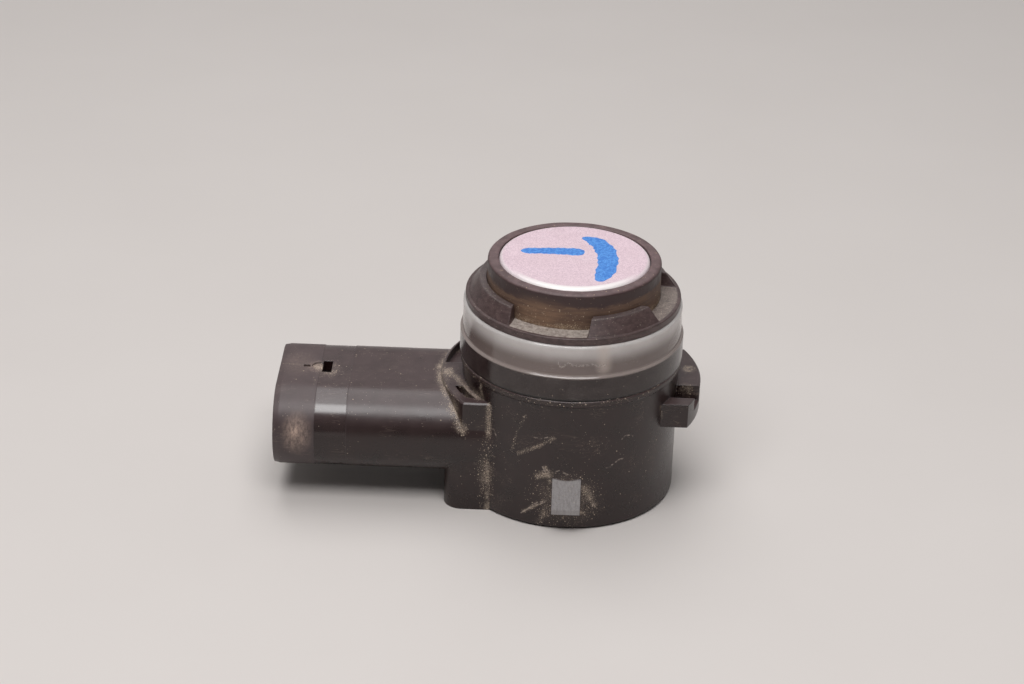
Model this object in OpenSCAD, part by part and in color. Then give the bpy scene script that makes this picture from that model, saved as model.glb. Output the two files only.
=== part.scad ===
// Ultrasonic parking sensor. A moulded housing with a side connector carries a clear weld
// ring, and a castellated crown holds the membrane cup in its soft ring. Millimetres, with
// +Z towards the membrane, the rear face at z = 0 and the connector arm along -X.

/* [Housing] */
// Radius of the round housing wall
body_r = 11.35; // [11:0.05:13]
// Thickness of the round housing wall
body_wall = 1.5; // [1.3:0.05:1.8]
// Thickness of the closed rear wall
rear_t = 1.8; // [1:0.1:3]
// Chamfer round the rear edge
rear_chamfer = 0.3; // [0.1:0.05:0.6]
// Height of the round wall from the block's top to the rim
collar_h = 2.5; // [1.5:0.1:5]
// How far the lip under the seam stands out from the wall
lip_out = 0.22; // [0.1:0.02:0.4]
// Height of the lip under the seam
lip_h = 0.6; // [0.3:0.1:1]
// Height of the thin spigot inside the clear ring
spigot_h = 2.3; // [1.5:0.1:2.6]

/* [Connector arm] */
// Distance from the housing's axis to the mouth of the connector
arm_reach = 30.6; // [28:0.1:40]
// Overall width of the arm
arm_w = 16.8; // [15.6:0.1:17.6]
// Overall height of the arm, with fully rounded sides
arm_h = 9; // [8.4:0.1:10.4]
// Clear height under the arm
arm_lift = 3.1; // [1:0.1:6]
// Thickness of the connector's wall
shroud_t = 1.2; // [1:0.05:1.5]
// Depth of the connector socket
socket_depth = 12; // [9:0.1:14]
// Length of the chamfer round the outside of the mouth
mouth_chamfer_l = 0.6; // [0.2:0.1:1]
// Drop of the chamfer round the outside of the mouth
mouth_chamfer_t = 0.12; // [0.05:0.01:0.3]
// Lead-in chamfer inside the mouth
lead_in = 0.4; // [0.2:0.05:0.7]
// Distance from the mouth to the smooth sealing band
band_in = 4.3; // [3:0.1:6]
// Width of the smooth sealing band
band_w = 3.3; // [1:0.1:5]
// Depth of the smooth sealing band
band_t = 0.04; // [0.02:0.01:0.2]

/* [Latch] */
// Distance from the mouth to the latch window
latch_in = 4.5; // [2:0.1:6]
// Length of the latch window along the arm
latch_l = 1; // [0.6:0.1:2.5]
// Width of the latch window across the arm
latch_w = 2.5; // [1.5:0.1:4]
// Length of the small gate pit nearer the mouth
pit_l = 0.7; // [0.4:0.1:1.2]
// Width of the small gate pit
pit_w = 0.5; // [0.3:0.1:1.5]
// Depth of the small gate pit
pit_t = 0.35; // [0.1:0.05:0.6]
// Plastic left between the pit and the latch window
pit_land = 1.3; // [0.4:0.1:1.5]
// Radius of the round dip beside the latch window
dip_r = 0.85; // [0.5:0.05:1.2]
// Depth of the round dip
dip_t = 0.15; // [0.1:0.05:0.6]
// How far the dip's middle lies from the latch window
dip_in = 0.3; // [0.1:0.05:0.5]

/* [Block and lugs] */
// How far the block at the arm's root stands out from the round wall
block_out = 1.45; // [1:0.05:2]
// Width of the block at the arm's root and of the lug on top of it
block_w = 16; // [12:0.1:18]
// Rounding of the block's upright corners
block_round = 1.9; // [0.6:0.1:3]
// Height of the block's rim above the arm
block_over = 0.5; // [0.2:0.1:2]
// How far the lug on the block stands out from the round wall
block_lug_out = 2.2; // [2:0.05:3.5]
// How far the free lug stands out from the round wall
lug_out = 2.4; // [2:0.05:3.5]
// Width of the free lug
lug_w = 12.3; // [9:0.1:16]
// Height of both lugs
lug_h = 2.9; // [2.4:0.1:5]
// Chamfer round the top edges of both lugs
lug_chamfer = 0.18; // [0.05:0.01:0.3]
// Wall left outside the near pocket over the block
rim_t = 0.9; // [0.6:0.05:1.2]
// Wall left outside the far pocket over the block
far_rim_t = 0.35; // [0.3:0.05:1.2]
// Wall left in front of the near pocket over the block
near_rim_t = 1.25; // [0.6:0.05:1.7]
// Strip left between the near pocket and the round wall
near_strip = 0.5; // [0.2:0.05:0.7]
// Width of the web between the two pockets over the block
web_w = 5.2; // [2:0.1:6]
// How far the web's middle stands towards the front
web_shift = 1.6; // [0:0.1:2]
// Depth of the pockets over the block
pocket_t = 0.9; // [0.6:0.1:2]
// Depth of the slot across the free lug
slot_t = 1.7; // [0.8:0.1:2]
// Distance from the free lug's middle to the near edge of its far plate
plate_front = 2.2; // [0.5:0.1:3]
// Width of the free lug's near plate
near_plate_w = 1.6; // [1:0.1:2.2]
// Drop of the free lug's near plate below the far one
near_drop = 0.26; // [0.1:0.02:0.6]

/* [Snap wedge] */
// Width of each snap wedge
wedge_w = 3; // [2:0.1:5]
// Height of each snap wedge's ramp
wedge_h = 3.6; // [2:0.1:5]
// How far each snap wedge stands out
wedge_out = 1.2; // [0.6:0.1:2]
// Height of each snap wedge's lower edge
wedge_lift = 2.4; // [1:0.1:5]

/* [Clear ring] */
// How far the clear ring's foot stands out from the housing wall
ring_out = 0.3; // [0.1:0.02:0.6]
// Height of the clear ring
ring_h = 6.15; // [5.4:0.05:9]
// Height of the ledge above the clear ring's foot
ledge_h = 2.85; // [1.5:0.05:4]
// Width of the ledge
ledge_t = 0.26; // [0.1:0.02:0.4]
// Rounding of the clear ring's top edge
ring_round = 0.35; // [0.1:0.05:0.5]
// Thickness of the clear ring's wall above the ledge
ring_wall = 1; // [0.8:0.05:1.3]
// Height of the dark seam under the clear ring
seam_h = 0.17; // [0.1:0.01:0.4]
// Depth of the dark seam under the clear ring
seam_t = 0.45; // [0.2:0.05:0.6]

/* [Crown] */
// Thickness of the crown's sleeve between the neck and the clear ring
crown_wall = 1.31; // [1:0.01:1.8]
// How far the crown's flange stays inside the clear ring's edge
flange_in = 0.22; // [0.1:0.02:0.35]
// Thickness of the crown's flange
flange_t = 0.78; // [0.5:0.02:1.5]
// Height of the castellations above the flange
crown_h = 1.5; // [0.8:0.1:2.2]
// Width of the flat on top of the castellations
crown_flat = 0.4; // [0.2:0.05:0.8]
// Number of gaps between castellations
crown_gaps = 3; // [2:1:4]
// Angle from one gap to the next
crown_pitch = 90; // [80:1:90]
// Angle that each gap spans
gap_angle = 50; // [20:1:60]
// Direction of the first gap, turned from the +X axis
gap_start = -105; // [-180:1:180]

/* [Membrane] */
// Thickness of the soft ring's neck
soft_wall = 1.2; // [0.9:0.05:1.6]
// Height of the neck above the castellations
neck_over = 2.3; // [1.2:0.1:5]
// Height of the membrane face above the neck's outer edge
face_proud = 0.1; // [0:0.01:0.2]
// Rounding of the membrane cup's front edge
cup_round = 0.5; // [0.1:0.05:0.6]
// Rounding of the neck's outer edge
neck_round = 0.25; // [0.1:0.05:0.4]
// Thickness of the membrane
membrane_t = 0.75; // [0.4:0.05:1.2]
// Thickness of the membrane cup's wall
cup_wall = 1; // [0.6:0.05:1.4]
// How far the membrane cup's foot stands out
foot_out = 0.55; // [0.3:0.05:0.7]
// Height of the membrane cup's foot
foot_h = 1; // [0.6:0.1:1.1]
// Thickness of the soft ring's flange
soft_t = 1.3; // [1.1:0.1:2]
// Thickness of the soft lip under the membrane cup's foot
soft_lip_t = 0.5; // [0.3:0.1:0.7]
// Radius of the piezo disc
piezo_r = 3.6; // [2.5:0.1:4.5]
// Thickness of the piezo disc
piezo_t = 0.4; // [0.2:0.05:0.8]
// Depth of the open space behind the damping filler
filler_in = 0.6; // [0.2:0.1:2]
// Radius of the piezo's wires
wire_r = 0.2; // [0.15:0.01:0.3]

/* [Board] */
// Thickness of the circuit board
board_t = 1; // [0.6:0.1:1.6]
// Height of the board's underside above the terminals' middle
board_over = 1.2; // [1.0:0.1:2.5]
// Width of the ledge that the board rests on
board_seat = 0.8; // [0.5:0.05:1]
// Distance between neighbouring terminals
pin_pitch = 4; // [3:0.1:4.4]
// Thickness of each square terminal
pin_t = 0.64; // [0.5:0.02:0.9]
// Distance from the mouth to the terminals' tips
pin_recess = 5.4; // [4.8:0.1:7]
// Distance from the housing's axis to the terminals' upright legs
pin_leg_x = 6.6; // [6:0.1:7]
// How far the terminals' legs pass the board
pin_over = 0.8; // [0.4:0.1:1.5]
// Side of the control chip
chip_w = 5; // [3:0.1:6]
// Thickness of the control chip
chip_t = 0.9; // [0.5:0.1:1.4]
// Diameter of the transformer's flanges
coil_d = 5.2; // [4:0.1:6]
// Height of the transformer
coil_h = 4.2; // [3:0.1:5]
// Diameter of the transformer's core
core_d = 2; // [1.2:0.1:2.4]
// Thickness of the transformer's bobbin wall and flanges
bobbin_t = 0.4; // [0.3:0.05:0.6]
// Diameter of the buffer capacitor
cap_d = 3; // [2:0.1:4]
// Height of the buffer capacitor
cap_h = 3.4; // [2:0.1:5]

/* [Hidden] */

$fn = 96;
// Reach of a cut past the face it opens
cut = 1;
// Radial clearance between pieces that nest
nest = 0.04;

arm_r = arm_h / 2;
arm_flat = arm_w - arm_h;
arm_z = arm_lift + arm_r;
socket_r = arm_r - shroud_t;
block_x = body_r + block_out;
block_lug_r = body_r + block_lug_out;
block_h = arm_lift + arm_h + block_over;
lug_r = body_r + lug_out;
body_h = block_h + collar_h;
bore_r = body_r - body_wall;

ring_foot_r = body_r + ring_out;
ring_r = ring_foot_r - ledge_t;
ring_bore_r = ring_r - ring_wall;
ring_top = body_h + ring_h;
spigot_top = body_h + spigot_h;

flange_r = ring_r - flange_in;
flange_top = ring_top + flange_t;
crown_top = flange_top + crown_h;
neck_r = ring_bore_r - 2 * nest - crown_wall;
crown_bore_r = neck_r + nest;
soft_top = spigot_top + soft_t;

neck_top = crown_top + neck_over;
cup_r = neck_r - soft_wall;
face_z = neck_top + face_proud;
foot_z = spigot_top + soft_lip_t;
foot_r = cup_r + foot_out;
membrane_back = face_z - membrane_t;
filler_r = cup_r - cup_wall - nest;
piezo_back = membrane_back - piezo_t;

board_z = arm_z + board_over;
board_top = board_z + board_t;
board_r = bore_r - 3 * nest;
well_r = bore_r - board_seat;
signal_wire_xy = [0, -1.8];
ground_wire_xy = [0, -(filler_r - 3 * wire_r)];
// Bare rim of the board outside its parts
board_rim = 2.6;
chip_xy = [chip_w / 2 + 2 * wire_r, chip_w / 2 - 2 * wire_r];
coil_xy = [wire_r, board_r - board_rim - coil_d / 2];
cap_xy = [board_r - board_rim - cap_d / 2, -wire_r];
crystal_size = [3.2, 1.5, 1];
crystal_xy = [-board_rim - crystal_size[0] / 2, -board_r + 1.5 * board_rim];
part_size = [1.6, 0.8, 0.8];
part_step = 2 * part_size[1];
capacitor_row_xy = [board_rim, -board_r + 1.5 * board_rim];
resistor_row_xy = [-board_rim - 1.5 * part_size[0], part_size[1]];

// Obround bar along X, from x = 0, with round sides of radius r about the two flat edges
module obround_bar(length, flat, r) {
    translate([0, -flat / 2, -r])
        cube([length, flat, 2 * r]);
    for (side = [-1, 1])
        translate([0, side * flat / 2, 0])
            rotate([0, 90, 0])
                cylinder(h = length, r = r);
}

// Obround bar along X whose side radius goes from r_a at x = 0 to r_b at its far end
module obround_taper(length, flat, r_a, r_b) {
    translate([0, flat / 2, 0])
        rotate([90, 0, 0])
            linear_extrude(flat)
                polygon([[0, -r_a], [length, -r_b], [length, r_b], [0, r_a]]);
    for (side = [-1, 1])
        translate([0, side * flat / 2, 0])
            rotate([0, 90, 0])
                cylinder(h = length, r1 = r_a, r2 = r_b);
}

// Lug on the side that dir gives: a slice of a turned disc, chamfered round its top
module lug(outer_r, width, dir) {
    shoulder = lug_h - lug_chamfer;
    edge = width / 2;
    intersection() {
        rotate_extrude()
            polygon([[0, 0], [outer_r, 0], [outer_r, shoulder], [outer_r - lug_chamfer, lug_h], [0, lug_h]]);
        translate([dir > 0 ? 0 : -outer_r - cut, 0, 0])
            rotate([90, 0, 90])
                linear_extrude(outer_r + cut)
                    polygon([[-edge, 0], [edge, 0], [edge, shoulder], [edge - lug_chamfer, lug_h],
                        [lug_chamfer - edge, lug_h], [-edge, shoulder]]);
    }
}

// Block under the arm's root, with rounded upright corners
module root_block() {
    translate([-block_x, -block_w / 2 + block_round, 0])
        cube([block_x, block_w - 2 * block_round, block_h - lug_h]);
    translate([-block_x + block_round, -block_w / 2, 0])
        cube([block_x - block_round, block_w, block_h - lug_h]);
    for (side = [-1, 1])
        translate([-block_x + block_round, side * (block_w / 2 - block_round), 0])
            cylinder(h = block_h - lug_h, r = block_round);
}

// Cut of a depth into a lug's top between two radii, from y_a to y_b
module side_pocket(inner_r, outer_r, y_a, y_b, depth, dir) {
    translate([0, 0, block_h - depth])
        difference() {
            intersection() {
                cylinder(h = depth + cut, r = outer_r);
                translate([dir > 0 ? 0 : -outer_r, y_a, 0])
                    cube([outer_r, y_b - y_a, depth + cut]);
            }
            translate([0, 0, -cut])
                cylinder(h = depth + 3 * cut, r = inner_r);
        }
}

// Round cup, its lip and its spigot, as one turned outline round the axis
module body_outline() {
    rotate_extrude()
        polygon([
            [0, 0],
            [body_r - rear_chamfer, 0],
            [body_r, rear_chamfer],
            [body_r, body_h - lip_h - lip_out],
            [body_r + lip_out, body_h - lip_h],
            [body_r + lip_out, body_h - lip_out / 2],
            [body_r + lip_out / 2, body_h],
            [ring_bore_r - nest, body_h],
            [ring_bore_r - nest, spigot_top],
            [0, spigot_top]
        ]);
}

// Ramp that a mounting bracket snaps over, on the -Y side of the round wall
module snap_wedge() {
    inset = body_r - sqrt(body_r * body_r - wedge_w * wedge_w / 4) + nest;
    translate([-wedge_w / 2, -body_r, wedge_lift])
        rotate([90, 0, 90])
            linear_extrude(wedge_w)
                polygon([[inset, 0], [-wedge_out, 0], [-wedge_out, wedge_h / 6], [0, wedge_h], [inset, wedge_h]]);
}

// Arm with its chamfered mouth and its smooth sealing band
module arm() {
    translate([-arm_reach, 0, arm_z]) {
        obround_taper(mouth_chamfer_l, arm_flat, arm_r - mouth_chamfer_t, arm_r);
        translate([mouth_chamfer_l, 0, 0])
            obround_bar(band_in - mouth_chamfer_l, arm_flat, arm_r);
        translate([band_in, 0, 0])
            obround_bar(band_w, arm_flat, arm_r - band_t);
        translate([band_in + band_w, 0, 0])
            obround_bar(arm_reach - band_in - band_w, arm_flat, arm_r);
    }
}

// Socket, its lead-in, the latch window, the dip beside it and the gate pit
module socket_cuts() {
    translate([-arm_reach, 0, arm_z]) {
        translate([-cut, 0, 0])
            obround_bar(socket_depth + cut, arm_flat, socket_r);
        obround_taper(lead_in, arm_flat, socket_r + lead_in, socket_r);
        translate([latch_in, -latch_w / 2, 0])
            cube([latch_l, latch_w, arm_r + cut]);
        translate([latch_in - dip_in, 0, arm_r - dip_t])
            cylinder(h = dip_t + cut, r = dip_r);
        translate([latch_in - pit_land - pit_l, -pit_w / 2, arm_r - pit_t])
            cube([pit_l, pit_w, pit_t + cut]);
    }
}

// Square way of a terminal, wider than the terminal by grow on every side
module terminal_bar(y, grow) {
    w = pin_t + 2 * grow;
    tip_x = -arm_reach + pin_recess;
    translate([tip_x, y - w / 2, arm_z - w / 2])
        cube([-pin_leg_x - tip_x + w / 2, w, w]);
}

module housing() {
    color("dimgray")
        difference() {
            union() {
                body_outline();
                arm();
                root_block();
                translate([0, 0, block_h - lug_h]) {
                    lug(block_lug_r, block_w, -1);
                    lug(lug_r, lug_w, 1);
                }
                for (turn = [0, 180])
                    rotate([0, 0, turn])
                        snap_wedge();
            }
            translate([0, 0, rear_t])
                cylinder(h = board_z - rear_t + cut, r = well_r);
            translate([0, 0, board_z])
                cylinder(h = spigot_top - board_z + cut, r = bore_r);
            socket_cuts();
            for (row = [-1, 0, 1])
                terminal_bar(row * pin_pitch, nest);
            side_pocket(body_r + near_strip, block_lug_r - rim_t, near_rim_t - block_w / 2,
                -web_shift - web_w / 2, pocket_t, -1);
            side_pocket(body_r, block_lug_r - far_rim_t, web_w / 2 - web_shift,
                block_w / 2 - rim_t, pocket_t, -1);
            side_pocket(body_r, lug_r + cut, near_plate_w - lug_w / 2, -plate_front, slot_t, 1);
            side_pocket(body_r, lug_r + cut, -lug_w / 2 - cut, -plate_front, near_drop, 1);
        }
}

module clear_ring() {
    color("lightblue", 0.5)
        translate([0, 0, body_h])
            rotate_extrude() {
                polygon([
                    [ring_bore_r, 0],
                    [ring_foot_r - seam_t, 0],
                    [ring_foot_r - seam_t, seam_h],
                    [ring_foot_r, seam_h],
                    [ring_foot_r, ledge_h - ledge_t / 2],
                    [ring_foot_r - ledge_t / 2, ledge_h],
                    [ring_r, ledge_h],
                    [ring_r, ring_h - ring_round],
                    [ring_r - ring_round, ring_h - ring_round],
                    [ring_r - ring_round, ring_h],
                    [ring_bore_r, ring_h]
                ]);
                translate([ring_r - ring_round, ring_h - ring_round])
                    circle(r = ring_round);
            }
}

module crown_ring() {
    color("slategray")
        difference() {
            rotate_extrude()
                polygon([
                    [crown_bore_r, soft_top],
                    [ring_bore_r - nest, soft_top],
                    [ring_bore_r - nest, ring_top],
                    [flange_r, ring_top],
                    [flange_r, flange_top],
                    [crown_bore_r + crown_flat, crown_top],
                    [crown_bore_r, crown_top]
                ]);
            for (i = [0 : crown_gaps - 1])
                rotate([0, 0, gap_start + i * crown_pitch - gap_angle / 2])
                    rotate_extrude(angle = gap_angle)
                        translate([crown_bore_r - cut, flange_top])
                            square([flange_r - crown_bore_r + 2 * cut, crown_h + cut]);
        }
}

module decoupling_ring() {
    in_r = cup_r + nest;
    color("black")
        rotate_extrude() {
            polygon([
                [cup_r - cup_wall, spigot_top],
                [ring_bore_r - 2 * nest, spigot_top],
                [ring_bore_r - 2 * nest, soft_top],
                [neck_r, soft_top],
                [neck_r, neck_top - neck_round],
                [neck_r - neck_round, neck_top - neck_round],
                [neck_r - neck_round, neck_top],
                [in_r, neck_top],
                [in_r, foot_z + foot_h + nest],
                [foot_r + nest, foot_z + foot_h + nest],
                [foot_r + nest, foot_z],
                [cup_r - cup_wall, foot_z]
            ]);
            translate([neck_r - neck_round, neck_top - neck_round])
                circle(r = neck_round);
        }
}

module membrane_cup() {
    in_r = cup_r - cup_wall;
    color("gainsboro")
        rotate_extrude() {
            polygon([
                [0, membrane_back],
                [in_r, membrane_back],
                [in_r, foot_z],
                [foot_r, foot_z],
                [foot_r, foot_z + foot_h],
                [cup_r, foot_z + foot_h],
                [cup_r, face_z - cup_round],
                [cup_r - cup_round, face_z - cup_round],
                [cup_r - cup_round, face_z],
                [0, face_z]
            ]);
            translate([cup_r - cup_round, face_z - cup_round])
                circle(r = cup_round);
        }
}

module piezo_disc() {
    color("khaki")
        translate([0, 0, piezo_back])
            cylinder(h = piezo_t, r = piezo_r);
}

// Upright wire at xy, from below the board to z_top
module wire_bar(xy, r, z_top) {
    z_low = board_z - wire_r;
    translate([xy[0], xy[1], z_low])
        cylinder(h = z_top - z_low, r = r, $fn = 24);
}

module damping_filler() {
    color("dimgray")
        difference() {
            translate([0, 0, foot_z + filler_in])
                cylinder(h = piezo_back - foot_z - filler_in, r = filler_r);
            wire_bar(signal_wire_xy, wire_r + nest, face_z);
            wire_bar(ground_wire_xy, wire_r + nest, face_z);
        }
}

module signal_wire() {
    color("firebrick")
        wire_bar(signal_wire_xy, wire_r, piezo_back);
}

module ground_wire() {
    color("saddlebrown")
        wire_bar(ground_wire_xy, wire_r, membrane_back);
}

module circuit_board() {
    way = pin_t + 2 * nest;
    color("green")
        difference() {
            translate([0, 0, board_z])
                cylinder(h = board_t, r = board_r);
            for (row = [-1, 0, 1])
                translate([-pin_leg_x - way / 2, row * pin_pitch - way / 2, board_z - cut])
                    cube([way, way, board_t + 2 * cut]);
            wire_bar(signal_wire_xy, wire_r + nest, board_top + cut);
            wire_bar(ground_wire_xy, wire_r + nest, board_top + cut);
        }
}

module control_chip() {
    color("black")
        translate([chip_xy[0] - chip_w / 2, chip_xy[1] - chip_w / 2, board_z - chip_t])
            cube([chip_w, chip_w, chip_t]);
}

module transformer_core() {
    color("darkslategray")
        translate([coil_xy[0], coil_xy[1], board_top])
            cylinder(h = coil_h, d = core_d);
}

module transformer_bobbin() {
    core_way = core_d / 2 + nest;
    barrel_r = core_way + bobbin_t;
    color("ivory")
        translate([coil_xy[0], coil_xy[1], board_top])
            rotate_extrude()
                polygon([
                    [core_way, 0],
                    [coil_d / 2, 0],
                    [coil_d / 2, bobbin_t],
                    [barrel_r, bobbin_t],
                    [barrel_r, coil_h - bobbin_t],
                    [coil_d / 2, coil_h - bobbin_t],
                    [coil_d / 2, coil_h],
                    [core_way, coil_h]
                ]);
}

module transformer_winding() {
    barrel_r = core_d / 2 + 2 * nest + bobbin_t;
    low = bobbin_t + nest;
    color("peru")
        translate([coil_xy[0], coil_xy[1], board_top])
            rotate_extrude()
                polygon([
                    [barrel_r, low],
                    [coil_d / 2 - bobbin_t / 2, low],
                    [coil_d / 2 - bobbin_t / 2, coil_h - low],
                    [barrel_r, coil_h - low]
                ]);
}

module buffer_capacitor() {
    color("silver")
        translate([cap_xy[0], cap_xy[1], board_top])
            cylinder(h = cap_h, d = cap_d);
}

// Row of small two-ended parts on top of the board
module part_row(xy, count) {
    for (i = [0 : count - 1])
        translate([xy[0], xy[1] + i * part_step, board_top])
            cube(part_size);
}

module chip_capacitors() {
    color("tan")
        part_row(capacitor_row_xy, 2);
}

module chip_resistors() {
    color("black")
        part_row(resistor_row_xy, 3);
}

module resonator() {
    color("silver")
        translate([crystal_xy[0], crystal_xy[1], board_top])
            cube(crystal_size);
}

// Bent terminal in the row that counts from the middle
module terminal(row) {
    terminal_bar(row * pin_pitch, 0);
    translate([-pin_leg_x - pin_t / 2, row * pin_pitch - pin_t / 2, arm_z - pin_t / 2])
        cube([pin_t, pin_t, board_top + pin_over - arm_z + pin_t / 2]);
}

module supply_terminal() {
    color("goldenrod")
        terminal(-1);
}

module signal_terminal() {
    color("goldenrod")
        terminal(0);
}

module ground_terminal() {
    color("goldenrod")
        terminal(1);
}

housing();
clear_ring();
crown_ring();
decoupling_ring();
membrane_cup();
piezo_disc();
damping_filler();
signal_wire();
ground_wire();
circuit_board();
control_chip();
transformer_core();
transformer_bobbin();
transformer_winding();
buffer_capacitor();
chip_capacitors();
chip_resistors();
resonator();
supply_terminal();
signal_terminal();
ground_terminal();
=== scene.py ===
import bpy
import numpy as np
from mathutils import Matrix, Vector


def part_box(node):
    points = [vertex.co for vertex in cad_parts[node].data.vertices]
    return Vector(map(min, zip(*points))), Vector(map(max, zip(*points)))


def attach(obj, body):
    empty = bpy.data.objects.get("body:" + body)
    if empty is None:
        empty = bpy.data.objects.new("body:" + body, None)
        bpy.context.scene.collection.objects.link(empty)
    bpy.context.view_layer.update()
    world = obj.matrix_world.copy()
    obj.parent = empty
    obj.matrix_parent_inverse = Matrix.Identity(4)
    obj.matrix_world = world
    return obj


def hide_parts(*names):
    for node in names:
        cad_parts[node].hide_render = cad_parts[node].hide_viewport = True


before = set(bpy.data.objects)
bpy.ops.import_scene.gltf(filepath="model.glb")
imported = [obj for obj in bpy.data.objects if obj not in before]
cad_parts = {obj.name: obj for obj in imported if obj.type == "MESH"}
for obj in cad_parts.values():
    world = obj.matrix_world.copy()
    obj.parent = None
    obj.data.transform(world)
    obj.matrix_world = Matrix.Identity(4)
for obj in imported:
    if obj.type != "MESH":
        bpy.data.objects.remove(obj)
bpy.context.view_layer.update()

# Places and sizes below are in millimetres, in the part's own frame; MM turns them into metres.
MM = 0.001


def span(node):
    """Lowest and highest corner of a solid, in millimetres."""
    low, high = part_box(node)
    return np.array(low) / MM, np.array(high) / MM


housing_low = span("housing")[0]
ring_low, ring_high = span("clear_ring")
crown_low, crown_high = span("crown_ring")
soft_low, soft_high = span("decoupling_ring")
cup_low, cup_high = span("membrane_cup")

# Clear ring
RING_WALL = 1.0
LEDGE_H = 2.85
LEDGE_T = 0.26
SEAM_H = 0.17
SEAM_T = 0.45
RING_ROUND = 0.35
RING_TURNS = 288

# Crown
CROWN_H = 1.5
FLANGE_T = 0.78
CROWN_FLAT = 0.72
TOOTH_LEDGE = 0.35
SLEEVE_GAP = 0.04
GAP_MIDDLES = np.radians([-104.5, -13.5, 75.5])
GAP_HALF = 4.1
FLANGE_ROUND = 0.12
TOOTH_ROUND = 0.14
CROWN_TURNS = 240

# Soft ring and membrane cup
NECK_R = 9.0
NECK_ROUND = 0.3
NECK_INNER_ROUND = 0.14
SOFT_ROUND = 0.1
SOFT_STEP = 0.14
SOFT_TURNS = 300
SOFT_FLANGE_T = 1.3
SOFT_LIP_T = 0.5
CUP_R = 7.8
CUP_WALL = 1.0
CUP_ROUND = 0.5
MEMBRANE_T = 0.75
FOOT_OUT = 0.55
FOOT_H = 1.0
DRAWN_ROUND = 0.2
POINT_ROUND = 0.001
FACE_DISH = 0.01
CUP_TURNS = 240
NEST = 0.04

# Rounds of edges that several pieces share, from the finest to the widest
FINE_ROUND = 0.03
EDGE_ROUND = 0.05
NOOK_ROUND = 0.06
LIP_ROUND = 0.08

# Arm: inner and outer end of the polished sealing band
BAND_IN = -23.0
BAND_OUT = -26.3

# Snap wedge: half width, lower and upper end, wall radius under it
WEDGE_HALF = 1.5
WEDGE_LOW = 2.4
WEDGE_HIGH = 6.0
BODY_R = 11.35

# How far the shading rounds the housing's edges
EDGE_SOFT = 0.16

# Points along a stroke of paint and round it
STROKE_STEPS = 110
STROKE_SIDES = 28


# Surfaces


def skin(name, grid, poles=None):
    """Closed mesh over a grid of points (row, column, xyz). Columns always join round. Rows join round too,
    or run from the first to the second of two pole points. The sum of the signed tetrahedra under the faces
    gives the volume, and where it is negative all the faces are turned over, so that they point outwards."""
    rows, columns = grid.shape[:2]
    number = np.arange(rows * columns).reshape(rows, columns)
    beside = np.roll(number, -1, 1)
    if poles is None:
        above, above_beside = np.roll(number, -1, 0), np.roll(beside, -1, 0)
        quads = np.stack([number, beside, above_beside, above], -1).reshape(-1, 4)
        points = grid.reshape(-1, 3)
        faces = [quads]
    else:
        quads = np.stack([number[:-1], beside[:-1], beside[1:], number[1:]], -1).reshape(-1, 4)
        points = np.vstack([grid.reshape(-1, 3), np.array(poles, float)])
        first, last = np.full(columns, rows * columns), np.full(columns, rows * columns + 1)
        faces = [
            quads,
            np.stack([first, beside[0], number[0]], -1),
            np.stack([number[-1], beside[-1], last], -1),
        ]
    triangles = np.vstack([quads[:, [0, 1, 2]], quads[:, [0, 2, 3]]] + faces[1:])
    a, b, c = points[triangles[:, 0]], points[triangles[:, 1]], points[triangles[:, 2]]
    if np.einsum("ij,ij->i", a, np.cross(b, c)).sum() < 0:
        faces = [f[:, ::-1] for f in faces]
    mesh = bpy.data.meshes.new(name)
    mesh.from_pydata(points * MM, [], sum([f.tolist() for f in faces], []))
    mesh.polygons.foreach_set("use_smooth", np.ones(len(mesh.polygons), bool))
    mesh.update()
    piece = bpy.data.objects.new(name, mesh)
    bpy.context.scene.collection.objects.link(piece)
    return piece


def rounded_outline(corners, steps=6, support=0.06):
    """Outline (radius, height) through the corners (radius, height, fillet). Each corner becomes a circular
    arc that touches both of its sides: with half the corner's angle h, the arc's centre lies fillet / sin h
    along the bisector and the arc starts fillet / tan h from the corner. One more point on each side keeps
    the flats flat in shading."""
    corners = np.array(corners, float)
    c, fillet = corners[:, :2], corners[:, 2:]
    to_last, to_next = np.roll(c, 1, 0) - c, np.roll(c, -1, 0) - c
    side = np.linalg.norm(to_next, axis=1, keepdims=True)
    a = to_last / np.linalg.norm(to_last, axis=1, keepdims=True)
    b = to_next / side
    half = np.arccos(np.clip((a * b).sum(1, keepdims=True), -1, 1)) / 2
    reach = fillet / np.tan(half)
    bisector = (a + b) / np.linalg.norm(a + b, axis=1, keepdims=True)
    centre = c + bisector * fillet / np.sin(half)
    start, end = c + a * reach - centre, c + b * reach - centre
    turn = (np.pi - 2 * half)[:, None, :]
    t = np.linspace(0, 1, steps + 1)[None, :, None]
    arc = (np.sin((1 - t) * turn) * start[:, None] + np.sin(t * turn) * end[:, None]) / np.sin(turn)
    free = np.clip(0.25 * (side - reach - np.roll(reach, -1, 0)), 0.002, support)
    before = c + a * (reach + np.roll(free, 1, 0))
    after = c + b * (reach + free)
    return np.concatenate([before[:, None], arc + centre[:, None], after[:, None]], 1).reshape(-1, 2)


def evenly(outline, step):
    """Closed outline again, with points every step of its length."""
    loop = np.vstack([outline, outline[:1]])
    along = np.append(0, np.cumsum(np.linalg.norm(np.diff(loop, axis=0), axis=1)))
    places = np.arange(0, along[-1], step)
    return np.stack([np.interp(places, along, loop[:, k]) for k in (0, 1)], -1)


def full_turn(count):
    """Even angles once round the axis."""
    return np.linspace(0, 2 * np.pi, count, endpoint=False)


def turned(radius, height, turns):
    """Surface of revolution: the point at (turn, outline) is (radius cos turn, radius sin turn, height)."""
    radius, height, turns = np.broadcast_arrays(radius, height, turns)
    return np.stack([radius * np.cos(turns), radius * np.sin(turns), height], -1)


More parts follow.
